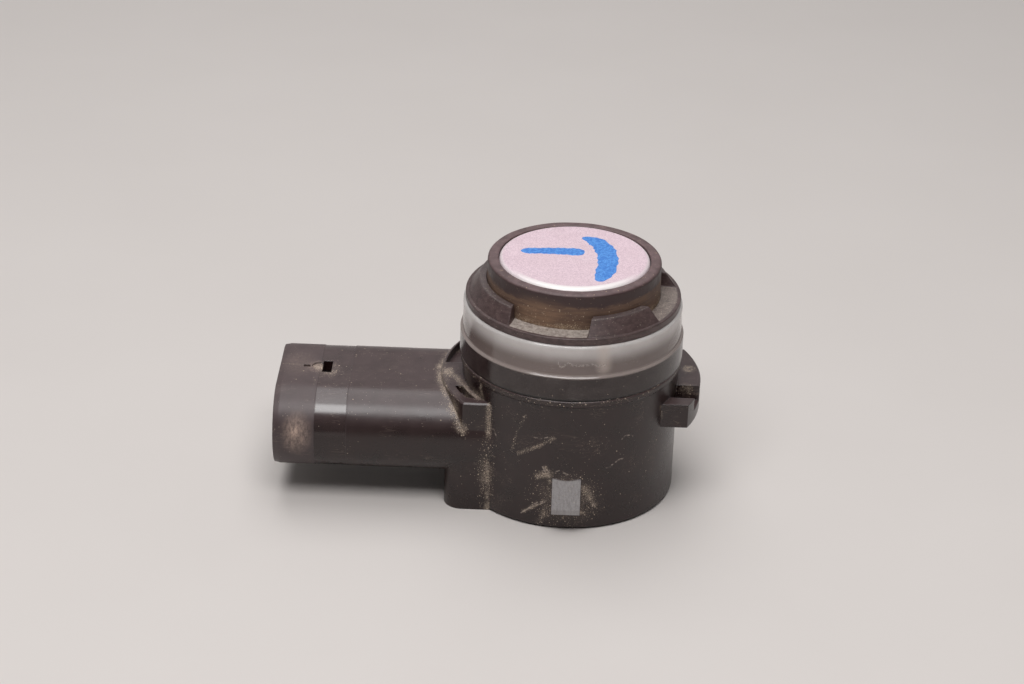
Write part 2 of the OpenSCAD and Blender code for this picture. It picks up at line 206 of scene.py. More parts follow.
def smoothstep(low, high, value):
    """Ramp from 0 at low to 1 at high with level ends: 3 t t - 2 t t t."""
    t = np.clip((value - low) / (high - low), 0, 1)
    return t * t * (3 - 2 * t)


def make_clear_ring():
    """Turned ring: straight bore, step at the foot for the seam, small ledge outside, rounded upper lip."""
    foot_r, low, top = ring_high[0], ring_low[2], ring_high[2]
    outer = foot_r - LEDGE_T
    bore = outer - RING_WALL
    outline = rounded_outline([
        (bore, low, FINE_ROUND),
        (foot_r - SEAM_T, low, FINE_ROUND),
        (foot_r - SEAM_T, low + SEAM_H, FINE_ROUND),
        (foot_r, low + SEAM_H, EDGE_ROUND),
        (foot_r, low + LEDGE_H - LEDGE_T / 2, EDGE_ROUND),
        (foot_r - LEDGE_T / 2, low + LEDGE_H, EDGE_ROUND),
        (outer, low + LEDGE_H, NOOK_ROUND),
        (outer, top, RING_ROUND),
        (bore, top, NOOK_ROUND),
    ])
    turns = full_turn(RING_TURNS)
    return skin("clear_ring_moulding", turned(outline[:, 0], outline[:, 1], turns[:, None]))


def make_crown():
    """Turned sleeve and flange under a sloping crest. The crest's height over the flange is multiplied by a
    gate that is 1 over the teeth and 0 over the three gaps, and goes from one to the other over the rise.
    The gaps have parallel sides: a gap's end lies arcsin (half width / radius) from its middle, so each turn
    is moved by the difference from that angle at the middle radius, times a tent that is 1 at the ends and 0
    half way between. The turns lie closer together within reach of the ends."""
    outer, bore = crown_high[0], NECK_R + SLEEVE_GAP
    sleeve = ring_high[0] - LEDGE_T - RING_WALL - SLEEVE_GAP
    top = crown_high[2]
    flange_top = top - CROWN_H
    outline = rounded_outline([
        (bore, crown_low[2], EDGE_ROUND),
        (sleeve, crown_low[2], EDGE_ROUND),
        (sleeve, flange_top - FLANGE_T, EDGE_ROUND),
        (outer, flange_top - FLANGE_T, FLANGE_ROUND),
        (outer, flange_top, FLANGE_ROUND),
        (outer - TOOTH_LEDGE, flange_top, NOOK_ROUND),
        (bore + CROWN_FLAT, top, TOOTH_ROUND),
        (bore, top, LIP_ROUND),
    ])
    half_rise, reach = 0.09, 0.24
    mid_r = (outer + bore) / 2
    half = np.arcsin(GAP_HALF / mid_r)
    ends = np.concatenate([GAP_MIDDLES - half, GAP_MIDDLES + half])
    near_ends = (ends[:, None] + np.linspace(-reach, reach, 17) / mid_r).ravel()
    turns = np.unique(np.mod(np.concatenate([full_turn(CROWN_TURNS), near_ends]), 2 * np.pi))
    apart = np.mod(turns[:, None] - GAP_MIDDLES + np.pi, 2 * np.pi) - np.pi
    nearest = np.abs(apart).argmin(1)
    off = apart[np.arange(len(turns)), nearest]
    gate = smoothstep(-half_rise, half_rise, (np.abs(off) - half) * mid_r)
    tent = np.sign(off) * np.interp(np.abs(off), [0, half, np.pi / 4], [0, 1, 0])
    bent = turns[:, None] + tent[:, None] * (np.arcsin(GAP_HALF / outline[:, 0]) - half)
    crest = np.clip(outline[:, 1] - flange_top, 0, None)
    height = np.minimum(outline[:, 1], flange_top) + gate[:, None] * crest
    return skin("crown_moulding", turned(outline[:, 0], height, bent))


def make_soft_ring():
    """Turned soft ring: flange, lip under the cup's foot and the neck. Over the crown a few long waves of up
    to a twenty-fifth of a millimetre, sums of sines of turn and height, make the neck as uneven as soft
    rubber is: each sum is divided by its largest value and moves the surface inwards only."""
    bore, neck_top = CUP_R + NEST, soft_high[2]
    low = soft_low[2]
    foot_z = low + SOFT_LIP_T
    foot_r = CUP_R + FOOT_OUT + NEST
    outline = rounded_outline([
        (CUP_R - CUP_WALL, low, LIP_ROUND),
        (soft_high[0], low, SOFT_ROUND),
        (soft_high[0], low + SOFT_FLANGE_T, SOFT_ROUND),
        (NECK_R, low + SOFT_FLANGE_T, SOFT_ROUND),
        (NECK_R, neck_top, NECK_ROUND),
        (bore, neck_top, NECK_INNER_ROUND),
        (bore, foot_z + FOOT_H + NEST, FINE_ROUND),
        (foot_r, foot_z + FOOT_H + NEST, FINE_ROUND),
        (foot_r, foot_z, FINE_ROUND),
        (CUP_R - CUP_WALL, foot_z, LIP_ROUND),
    ])
    outline = evenly(outline, SOFT_STEP)
    t, r, z = full_turn(SOFT_TURNS)[:, None], outline[:, 0], outline[:, 1]
    half_wave, half_dip = 0.02, 0.018
    free = smoothstep(crown_high[2], crown_high[2] + 0.8, z) * smoothstep(bore + 0.15, NECK_R - 0.1, r)
    wave = np.sin(3 * t + 0.9 * z) + 0.7 * np.sin(7 * t - 1.7 * z + 1) + 0.5 * np.sin(13 * t + 2.1 * z + 2)
    dip = np.sin(5 * t + 1) + 0.8 * np.sin(11 * t + 3) + 0.6 * np.sin(17 * t)
    flat = smoothstep(neck_top - NECK_ROUND, neck_top, z) * free
    radius = r - free * half_wave * (1 + wave / 2.2)
    height = z - flat * half_dip * (1 + dip / 2.4)
    return skin("soft_ring_moulding", turned(radius, height, t))


def make_membrane_cup():
    """Turned pot, drawn from one sheet: from the middle of the membrane's back, down the inner wall, round
    the foot, up the outer wall and over the rounded rim to the middle of the face, which is dished: its depth
    there is the dish times 1 - (radius / outer radius) squared."""
    face, foot_z = cup_high[2], cup_low[2]
    inner, foot_r = CUP_R - CUP_WALL, CUP_R + FOOT_OUT
    back_z = face - MEMBRANE_T
    arc_steps = 8
    outline = rounded_outline([
        (0.0, back_z, POINT_ROUND),
        (inner, back_z, DRAWN_ROUND),
        (inner, foot_z, EDGE_ROUND),
        (foot_r, foot_z, EDGE_ROUND),
        (foot_r, foot_z + FOOT_H, EDGE_ROUND),
        (CUP_R, foot_z + FOOT_H, FINE_ROUND),
        (CUP_R, face, CUP_ROUND),
        (0.0, face, POINT_ROUND),
    ], arc_steps)
    per_corner = arc_steps + 3
    outline = outline[per_corner:-per_corner]
    innermost = 0.4
    back_r = np.linspace(innermost, inner - 0.6, 12)
    face_r = np.linspace(CUP_R - 0.7, innermost, 14)
    back = np.stack([back_r, np.full_like(back_r, back_z)], -1)
    front = np.stack([face_r, face - FACE_DISH * (1 - (face_r / CUP_R) ** 2)], -1)
    outline = np.vstack([back, outline, front])
    turns = full_turn(CUP_TURNS)
    grid = turned(outline[:, 0], outline[:, 1], turns[:, None]).transpose(1, 0, 2)
    return skin("membrane_cup_pot", grid, [(0, 0, back_z), (0, 0, face - FACE_DISH)])


def make_paint_stroke(name, controls, stops, widths, film):
    """Dab of paint: a flat oval carried along a cubic Bezier curve on the membrane's face. At each place
    along the curve the oval's half width comes from the stops, with a small ripple for the brush's edge; its
    upper side stands film over the face and its lower side is sunk in it by the same. Both ends narrow to a
    point."""
    face = cup_high[2] - FACE_DISH
    u = np.linspace(0.004, 0.996, STROKE_STEPS)
    v = full_turn(STROKE_SIDES)
    p0, p1, p2, p3 = np.array(controls, float)
    s = u[:, None]
    path = (1 - s) ** 3 * p0 + 3 * s * (1 - s) ** 2 * p1 + 3 * s * s * (1 - s) * p2 + s ** 3 * p3
    along = 3 * (1 - s) ** 2 * (p1 - p0) + 6 * s * (1 - s) * (p2 - p1) + 3 * s * s * (p3 - p2)
    across = np.stack([-along[:, 1], along[:, 0]], -1) / np.linalg.norm(along, axis=1, keepdims=True)
    blunt = (1 - np.abs(2 * u - 1) ** 10) ** 0.5
    ripple = 1 + 0.05 * np.sin(31 * u + 1) + 0.04 * np.sin(57 * u) + 0.03 * np.sin(83 * u + 2)
    half = np.interp(u, stops, widths) * blunt * ripple
    side = np.sign(np.cos(v)) * np.abs(np.cos(v)) ** 0.7
    lift = np.sign(np.sin(v)) * np.abs(np.sin(v)) ** 0.6 * film
    flat = path[:, None] + across[:, None] * (half[:, None] * side)[..., None]
    height = np.broadcast_to(face + lift, flat.shape[:2])
    ends = [(*p0, face), (*p3, face)]
    return skin(name, np.concatenate([flat, height[..., None]], -1), ends)


# Colours: linear red, green and blue, and full cover

PLASTIC_DARK = (0.013, 0.0052, 0.0047, 1)
PLASTIC_LIGHT = (0.02, 0.0083, 0.0076, 1)
MOUTH_GREY = (0.11, 0.082, 0.086, 1)
DUST_FILM_SHEEN_GREY = (0.27, 0.182, 0.185, 1)
SMEAR_BROWN = (0.52, 0.38, 0.31, 1)
EDGE_WEAR_HIGHLIGHT_GREY = (0.1, 0.08, 0.085, 1)
HAIRLINE_TAN = (0.4, 0.3, 0.24, 1)
FLUFF_TAN = (0.42, 0.34, 0.29, 1)
SEAM_PAINTED_SHADE = (0.004, 0.003, 0.003, 1)
WEDGE_REFLECTION_DARK = (0.22, 0.205, 0.205, 1)
WEDGE_REFLECTION_LIGHT = (0.44, 0.415, 0.415, 1)
DUST_DARK = (0.27, 0.185, 0.125, 1)
DUST_LIGHT = (0.92, 0.77, 0.62, 1)
CLEAR_SMOKE_SHADED = (0.27, 0.215, 0.2, 1)
CLEAR_LIT_TOP = (1.0, 0.95, 0.93, 1)
CLEAR_LEDGE_HIGHLIGHT = (0.62, 0.52, 0.48, 1)
CLEAR_FOOT_SHADE = (0.034, 0.018, 0.017, 1)
CLEAR_HAZE = (0.3, 0.25, 0.235, 1)
CLEAR_STRIPE = (0.95, 0.82, 0.74, 1)
CLEAR_SCRATCH = (0.85, 0.77, 0.72, 1)
CLEAR_SEAM_SHADE = (0.006, 0.004, 0.004, 1)
CROWN_DARK = (0.052, 0.031, 0.0305, 1)
CROWN_LIGHT = (0.098, 0.062, 0.06, 1)
CROWN_FILM = (0.5, 0.432, 0.385, 1)
CROWN_CREST_HIGHLIGHT = (0.12, 0.1, 0.1, 1)
CROWN_HAIRLINE = (0.25, 0.2, 0.17, 1)
CROWN_DUST = (0.24, 0.23, 0.215, 1)
SLEEVE_PAINTED_LIGHT = (0.75, 0.68, 0.66, 1)
RUBBER_DARK = (0.036, 0.0185, 0.018, 1)
RUBBER_LIGHT = (0.056, 0.03, 0.0295, 1)
RUBBER_TOP_LIGHT = (0.24, 0.155, 0.16, 1)
EARTH_BROWN = (0.25, 0.15, 0.095, 1)
OCHRE = (0.5, 0.34, 0.16, 1)
PAINT_DARK = (0.64, 0.475, 0.54, 1)
PAINT_LIGHT = (0.88, 0.69, 0.755, 1)
PAINT_CLOUD = (0.66, 0.5, 0.54, 1)
PAINT_RIM_HIGHLIGHT = (0.92, 0.87, 0.86, 1)
PAINT_HAIRLINE = (0.93, 0.9, 0.9, 1)
MARKER_DARK = (0.03, 0.185, 0.62, 1)
MARKER_LIGHT = (0.115, 0.37, 0.84, 1)
FLOOR_DARK = (0.66, 0.615, 0.59, 1)
FLOOR_LIGHT = (0.7, 0.655, 0.63, 1)
STUDIO_WHITE = (1.0, 0.985, 0.975, 1)


# Shader nodes


def wire(tree, node, inputs):
    """Links each input that is given as a socket, and sets each other one."""
    for key, value in dict(inputs).items():
        if isinstance(value, bpy.types.NodeSocket):
            tree.links.new(value, node.inputs[key])
        else:
            node.inputs[key].default_value = value


def put(tree, kind, inputs=(), **settings):
    """New node with its settings and inputs."""
    node = tree.nodes.new(kind)
    for key, value in settings.items():
        setattr(node, key, value)
    wire(tree, node, inputs)
    return node


def calc(tree, operation, *values):
    """Math node on one to three values."""
    return put(tree, "ShaderNodeMath", enumerate(values), operation=operation).outputs[0]


def times(tree, product, *values):
    """Product of several values."""
    for value in values:
        product = calc(tree, "MULTIPLY", product, value)
    return product


def vector(tree, operation, *values):
    """Vector Math node that gives a vector."""
    return put(tree, "ShaderNodeVectorMath", enumerate(values), operation=operation).outputs["Vector"]


def measure(tree, operation, *values):
    """Vector Math node that gives a number, such as a length."""
    return put(tree, "ShaderNodeVectorMath", enumerate(values), operation=operation).outputs["Value"]


def scaled(tree, place, scale):
    """Vector times a number."""
    return put(tree, "ShaderNodeVectorMath", {0: place, "Scale": scale}, operation="SCALE").outputs["Vector"]


def split(tree, place):
    """The three parts of a vector."""
    return put(tree, "ShaderNodeSeparateXYZ", {0: place}).outputs


def from_axis(tree, place):
    """Distance from the part's own axis."""
    return measure(tree, "LENGTH", vector(tree, "MULTIPLY", place, (1, 1, 0)))


def facing_up(tree):
    """Upward part of the surface's normal: 1 on a level top, 0 on a wall."""
    return split(tree, put(tree, "ShaderNodeNewGeometry").outputs["Normal"])[2]


def ramp(tree, value, low, high, at_low=0.0, at_high=1.0):
    """Smooth step of a value from one number to another."""
    inputs = {"Value": value, 1: low, 2: high, 3: at_low, 4: at_high}
    return put(tree, "ShaderNodeMapRange", inputs, interpolation_type="SMOOTHSTEP").outputs[0]


def near(tree, value, middle, inner, outer, peak=1.0):
    """Peak where the value lies within inner of the middle, falling to 0 at outer."""
    gap = calc(tree, "ABSOLUTE", calc(tree, "SUBTRACT", value, middle))
    return ramp(tree, gap, inner, outer, peak, 0.0)


def blend(tree, share, a, b):
    """Colour a, going to colour b with the share."""
    return put(tree, "ShaderNodeMix", {0: share, 6: a, 7: b}, data_type="RGBA").outputs[2]


def fade(tree, share, a, b):
    """Number a, going to number b with the share."""
    return put(tree, "ShaderNodeMix", {0: share, 2: a, 3: b}, data_type="FLOAT").outputs[0]


def most(tree, masks):
    """Largest of several masks."""
    result = masks[0]
    for mask in masks[1:]:
        result = calc(tree, "MAXIMUM", result, mask)
    return result


def noise(tree, place, size, detail=3.0, rough=0.55, turn=0.0):
    """Noise whose lumps are about size millimetres across."""
    inputs = {"Vector": place, "Scale": 1 / size, "Detail": detail, "Roughness": rough, "Distortion": turn}
    return put(tree, "ShaderNodeTexNoise", inputs).outputs["Fac"]


def millimetres(tree):
    """Object coordinates in millimetres."""
    place = put(tree, "ShaderNodeTexCoord").outputs["Object"]
    return scaled(tree, place, 1 / MM)


def group(name, inputs, outputs):
    """Empty node group with named sockets; returns the tree, its inputs and its output node."""
    tree = bpy.data.node_groups.new(name, "ShaderNodeTree")
    kinds = {"v": "NodeSocketVector", "f": "NodeSocketFloat", "c": "NodeSocketColor"}
    for label, kind in inputs.items():
        tree.interface.new_socket(label, in_out="INPUT", socket_type=kinds[kind])
    for label, kind in outputs.items():
        tree.interface.new_socket(label, in_out="OUTPUT", socket_type=kinds[kind])
    given = tree.nodes.new("NodeGroupInput").outputs
    return tree, given, tree.nodes.new("NodeGroupOutput")


def apply(tree, shared, inputs):
    """Places a node group and returns its outputs."""
    return put(tree, "ShaderNodeGroup", inputs, node_tree=shared).outputs


def streak_group():
    """Mask along a straight line: 1 on the line, falling to 0 at the width beside it."""
    tree, given, result = group("streak", {"Place": "v", "From": "v", "To": "v", "Width": "f"}, {"Mask": "f"})
    out = vector(tree, "SUBTRACT", given["Place"], given["From"])
    line = vector(tree, "SUBTRACT", given["To"], given["From"])
    along = measure(tree, "DOT_PRODUCT", out, line)
    whole = measure(tree, "DOT_PRODUCT", line, line)
    share = calc(tree, "MINIMUM", calc(tree, "MAXIMUM", calc(tree, "DIVIDE", along, whole), 0.0), 1.0)
    nearest = scaled(tree, line, share)
    beside = measure(tree, "DISTANCE", out, nearest)
    wire(tree, result, {"Mask": ramp(tree, beside, 0.0, given["Width"], 1.0, 0.0)})
    return tree


def patch_group():
    """Mask of a soft oval lump: 1 in the middle, 0 at its reach along each axis."""
    tree, given, result = group("patch", {"Place": "v", "Middle": "v", "Reach": "v"}, {"Mask": "f"})
    out = vector(tree, "SUBTRACT", given["Place"], given["Middle"])
    share = measure(tree, "LENGTH", vector(tree, "DIVIDE", out, given["Reach"]))
    wire(tree, result, {"Mask": ramp(tree, share, 0.25, 1.0, 1.0, 0.0)})
    return tree


def dust_group():
    """Dry road dust. Amount, made patchy by noise, says how many crumbs lie there (cells of two sizes, each
    shown where its random number is under the amount), how strong the hairs are (thin level lines of a warped
    noise) and how dense the film between them is."""
    tree, given, result = group("road_dust", {"Place": "v", "Amount": "f"},
        {"Colour": "c", "Cover": "f", "Crumbs": "f"})
    place = given["Place"]
    patchy = ramp(tree, noise(tree, place, 1.2, 4.0, 0.6), 0.32, 0.6, 0.45, 1.0)
    amount = times(tree, given["Amount"], patchy)
    crumbs = []
    for size, share in ((0.2, 0.55), (0.09, 0.9)):
        cells = put(tree, "ShaderNodeTexVoronoi", {"Vector": place, "Scale": 1 / size}).outputs
        number = put(tree, "ShaderNodeSeparateColor", {0: cells["Color"]}).outputs[0]
        over = calc(tree, "SUBTRACT", times(tree, amount, share), number)
        shown = ramp(tree, over, 0.0, 0.006)
        crumbs.append(times(tree, shown, ramp(tree, cells["Distance"], 0.2, 0.42, 1.0, 0.0)))
    warped = noise(tree, place, 0.75, 2.0, 0.5, 2.2)
    hairs = near(tree, warped, 0.5, 0.0, 0.016)
    hairs = times(tree, hairs, ramp(tree, amount, 0.2, 0.7, 0.0, 0.85))
    fine = noise(tree, place, 0.1, 2.0, 0.65)
    film = times(tree, calc(tree, "POWER", amount, 2.0), ramp(tree, fine, 0.4, 0.62, 0.08, 0.75))
    cover = most(tree, crumbs + [hairs, film])
    colour = blend(tree, ramp(tree, fine, 0.25, 0.75), DUST_DARK, DUST_LIGHT)
    wire(tree, result, {"Colour": colour, "Cover": cover, "Crumbs": fine})
    return tree


def scratch_group():
    """Fine hairlines in two directions: thin level lines of noise that is drawn out along one axis."""
    tree, given, result = group("hairlines", {"Place": "v", "Amount": "f"}, {"Mask": "f"})
    drawn_out = (0.28, 3.2, 2.6)
    lines = []
    for turn, seed in (((0.5, 0.3, 0.4), 0.0), ((-0.6, 0.2, 1.3), 9.0)):
        drawn = put(tree, "ShaderNodeMapping", {"Vector": given["Place"], "Location": (seed, seed, 0),
            "Rotation": turn, "Scale": drawn_out}).outputs[0]
        lines.append(near(tree, noise(tree, drawn, 1.0, 1.0, 0.5), 0.5, 0.0, 0.012))
    where = ramp(tree, noise(tree, given["Place"], 3.0, 2.0), 0.48, 0.68)
    mask = times(tree, most(tree, lines), where, given["Amount"])
    wire(tree, result, {"Mask": mask})
    return tree


def grain_group():
    """Moulded skin: fine grain for the bump, and slow changes of tone."""
    tree, given, result = group("moulded_grain", {"Place": "v"}, {"Height": "f", "Tone": "f"})
    fine = noise(tree, given["Place"], 0.11, 2.0, 0.6)
    slow = noise(tree, given["Place"], 2.4, 4.0, 0.6)
    wire(tree, result, {"Height": fine, "Tone": ramp(tree, slow, 0.25, 0.75)})
    return tree


def two_tone_group():
    """Two tones over lumps, one over fineness millimetres across, and a grain four times as fine."""
    tree, given, result = group("two_tones", {"Place": "v", "Fineness": "f", "Dark": "c", "Light": "c"},
        {"Colour": "c", "Grain": "f"})
    coarse = put(tree, "ShaderNodeTexNoise", {
        "Vector": given["Place"], "Scale": given["Fineness"], "Detail": 4.0, "Roughness": 0.6}).outputs["Fac"]
    finer = times(tree, given["Fineness"], 4.0)
    fine = put(tree, "ShaderNodeTexNoise", {
        "Vector": given["Place"], "Scale": finer, "Detail": 2.0, "Roughness": 0.6}).outputs["Fac"]
    colour = blend(tree, ramp(tree, coarse, 0.3, 0.7), given["Dark"], given["Light"])
    wire(tree, result, {"Colour": colour, "Grain": fine})
    return tree


# How much of a finish dust hides, and the height of its crumbs
DUST_HIDES = 0.85
CRUMB_H = 0.05

STREAK = streak_group()
PATCH = patch_group()
DUST = dust_group()
HAIRLINES = scratch_group()
GRAIN = grain_group()
TWO_TONES = two_tone_group()


def streaks(tree, place, marks):
    """Largest mask of several streaks (from, to, width, amount), joined one by one so that few are held."""
    largest = 0.0
    for start, end, width, amount in marks:
        mask = apply(tree, STREAK, {"Place": place, "From": start, "To": end, "Width": width})["Mask"]
        largest = calc(tree, "MAXIMUM", times(tree, mask, amount), largest)
    return largest


def patches(tree, place, marks):
    """Largest mask of several patches (middle, reach, amount), joined one by one so that few are held."""
    largest = 0.0
    for middle, reach, amount in marks:
        mask = apply(tree, PATCH, {"Place": place, "Middle": middle, "Reach": reach})["Mask"]
        largest = calc(tree, "MAXIMUM", times(tree, mask, amount), largest)
    return largest


def chain(points, width, amount):
    """Streaks through a row of points."""
    return [(a, b, width, amount) for a, b in zip(points[:-1], points[1:])]


def new_material(name):
    """Empty material and its shader."""
    material = bpy.data.materials.new(name)
    material.use_nodes = True
    tree = material.node_tree
    tree.nodes.clear()
    shader = put(tree, "ShaderNodeBsdfPrincipled")
    put(tree, "ShaderNodeOutputMaterial", {0: shader.outputs[0]})
    return material, tree, shader


def feed(tree, shader, **sockets):
    """Links or sets the shader's sockets, given by name with _ for a space."""
    wire(tree, shader, {key.replace("_", " "): value for key, value in sockets.items()})


def bump(tree, height, depth, strength=1.0, normal=None):
    """Normal from a height of 0 to 1 that stands for depth millimetres."""
    inputs = {"Height": height, "Distance": depth * MM, "Strength": strength}
    if normal is not None:
        inputs["Normal"] = normal
    return put(tree, "ShaderNodeBump", inputs).outputs[0]


# Finishes

# Where the arm's end meets the lug over the block
ROOT_LINE = [
    (-13.6, 1.2, 12.1), (-13.4, -2.0, 12.1), (-12.9, -4.1, 12.1), (-12.0, -6.4, 11.3), (-11.0, -8.0, 9.6),
]
ROOT_LINE_FAR = [(-13.6, 1.2, 12.1), (-13.0, 4.0, 12.1), (-12.0, 6.4, 11.3), (-11.0, 8.0, 9.6)]
# Foot of the round wall on the lug over the block
WEB_LINE = [(-12.0, -2.0, 12.7), (-10.7, -4.9, 12.7), (-9.3, -6.9, 12.7)]
# Where the block meets the round wall
CREASE = [(-8.2, -7.9, 12.4), (-8.25, -7.9, 6.5), (-8.2, -7.9, 0.1)]
CREASE_FAR = [(-8.2, 7.9, 12.4), (-8.2, 7.9, 0.1)]
# Faint outline of a scrape on the round wall, and its lower edge, which holds most dust
SCRAPE = [(-4.41, -10.46, 12.82), (-5.27, -10.05, 10.63), (-5.73, -9.8, 8.32)]
SCRAPE_EDGE = [(-5.1, -10.14, 8.15), (-3.02, -10.94, 9.55), (-1.53, -11.25, 10.68)]
# Crumbs on the round wall, from the seam down to the block, and down the edge of the free lug
SEAM_TRAIL = [(-9.5, -6.2, 15.9), (-9.1, -6.8, 15.2), (-9.2, -6.65, 13.6), (-8.8, -7.15, 12.4)]
LUG_EDGE = [(9.35, -6.4, 12.2), (9.75, -5.8, 9.9)]
# Fine hairs that lie on the round wall and on the arm
HAIRS = [
    [(5.49, -9.93, 10.2), (5.75, -9.78, 10.42), (6.02, -9.62, 10.48), (6.3, -9.44, 10.4),
        (6.61, -9.23, 10.2)],
    [(4.0, -10.6, 7.05), (4.4, -10.45, 7.2), (4.77, -10.3, 7.5), (5.26, -10.06, 7.82), (5.7, -9.8, 7.85)],
    [(-16.5, -8.0, 7.3), (-15.4, -7.95, 6.9), (-14.2, -7.9, 6.9)],
    [(-6.1, -9.57, 15.4), (-5.3, -10.04, 14.7), (-5.0, -10.19, 13.9)],
    [(-3.03, -10.94, 5.8), (-2.62, -11.04, 6.6), (-2.13, -11.15, 6.95), (-1.62, -11.23, 6.5),
        (-1.35, -11.27, 5.9)],
    [(-2.51, -11.07, 7.2), (-2.18, -11.14, 6.6), (-1.79, -11.21, 6.1)],
    [(-1.1, -11.3, 6.85), (-0.64, -11.33, 7.05), (-0.13, -11.35, 6.65), (0.44, -11.34, 6.4)],
    [(-4.59, -10.38, 1.25), (-3.45, -10.81, 2.3), (-2.19, -11.14, 3.05)],
    [(-3.74, -10.72, 2.3), (-2.94, -10.96, 2.9), (-2.38, -11.1, 3.1)],
    [(1.8, -11.21, 4.95), (2.51, -11.07, 4.35), (2.98, -10.95, 3.45), (2.77, -11.01, 2.7)],
    [(-3.68, -10.74, 10.55), (-2.86, -10.98, 10.4), (-1.95, -11.18, 10.8)],
    [(-8.22, -7.83, 9.8), (-7.7, -8.34, 9.85), (-7.36, -8.64, 9.15)],
]
# Scuff marks beside the wedge
WEDGE_SCUFFS = [
    ((-2.9, -10.95, 6.1), (-1.6, -11.22, 6.5), 0.9, 0.85),
    ((-2.2, -11.1, 7.2), (-1.7, -11.2, 5.4), 0.5, 0.7),
    ((1.8, -11.2, 4.9), (2.9, -10.95, 3.0), 0.9, 0.8),
    ((-4.3, -10.5, 1.5), (-2.2, -11.1, 3.2), 0.4, 0.85),
    ((-1.75, -11.2, 2.2), (1.9, -11.17, 2.0), 0.45, 0.85),
    ((-2.6, -11.0, 0.8), (-1.8, -11.2, 2.6), 0.8, 0.65),
]
# All lines on the housing that hold dust, the last one on top of the arm's mouth
DUST_LINES = (
    chain(ROOT_LINE, 1.05, 1.0) + chain(ROOT_LINE_FAR, 0.8, 0.7) + chain(CREASE, 0.62, 1.0)
    + chain(CREASE_FAR, 0.55, 0.8) + chain(WEB_LINE, 0.75, 0.8) + WEDGE_SCUFFS + chain(SCRAPE, 0.3, 0.42)
    + chain(SCRAPE_EDGE, 0.42, 0.75) + chain(SEAM_TRAIL, 0.5, 0.75) + chain(LUG_EDGE, 0.35, 0.5)
    + [((-30.4, 0.3, 12.12), (-28.3, 0.1, 12.12), 0.2, 0.6)]
)
# Soft lumps of dust on the arm, at its root, on the free lug, round both wedges and beside the block
DUST_LUMPS = [
    ((-26.6, 0.1, 11.8), (1.0, 1.2, 0.6), 1.0),
    ((-25.4, -0.8, 12.1), (2.0, 2.4, 0.7), 0.6),
    ((-12.75, -1.2, 12.6), (0.9, 1.5, 0.7), 1.0),
    ((-10.9, -5.4, 11.9), (1.4, 2.2, 1.0), 0.6),
    ((-12.0, -6.2, 11.6), (1.8, 2.4, 1.6), 0.5),
    ((12.55, 1.5, 12.6), (1.1, 1.1, 0.6), 1.0),
    ((12.2, -3.1, 12.1), (1.3, 2.0, 1.3), 1.0),
    ((0.0, -11.3, 3.6), (5.2, 2.4, 4.2), 0.46),
    ((0.0, 11.3, 4.0), (4.6, 2.4, 3.8), 0.4),
    ((-8.3, -8.0, 4.5), (1.5, 1.2, 5.6), 0.5),
]
# Dirt rubbed into the arm's mouth, side and top, and round the front wedge
SMEARS = [
    ((-28.1, -7.7, 8.3), (2.0, 2.6, 2.9), 0.58),
    ((-28.3, -7.9, 8.6), (0.9, 1.6, 1.5), 0.9),
    ((-28.6, 0.4, 12.1), (2.4, 3.6, 1.0), 0.14),
    ((-26.8, -0.1, 12.0), (1.7, 1.7, 0.6), 0.42),
    ((0.0, -11.4, 3.4), (4.0, 1.2, 3.6), 0.10),
]
# Scratch and pale vertical stripe on the front of the clear ring
ZIGZAG = [
    (-1.36, -11.32, 19.45), (-1.0, -11.36, 18.85), (-0.34, -11.39, 19.55), (0.1, -11.39, 19.2),
    (1.22, -11.33, 19.22), (2.07, -11.21, 19.3), (2.95, -11.01, 19.05), (3.45, -10.87, 19.2),
]
PALE_STRIPE = ((3.15, -10.95, 22.0), (3.3, -10.9, 18.9), 1.15, 0.55)
# Earth on the low part of the neck
NECK_EARTH = [
    ((-3.4, -8.3, 22.9), (6.4, 4.6, 2.6), 1.0),
    ((5.2, -7.4, 22.8), (5.0, 4.2, 2.2), 0.75),
    ((8.8, -1.0, 22.8), (2.4, 4.4, 2.0), 0.7),
    ((-7.9, -4.4, 23.3), (2.6, 4.6, 1.5), 0.8),
    ((2.0, 8.9, 22.8), (5.4, 2.4, 2.0), 0.7),
]


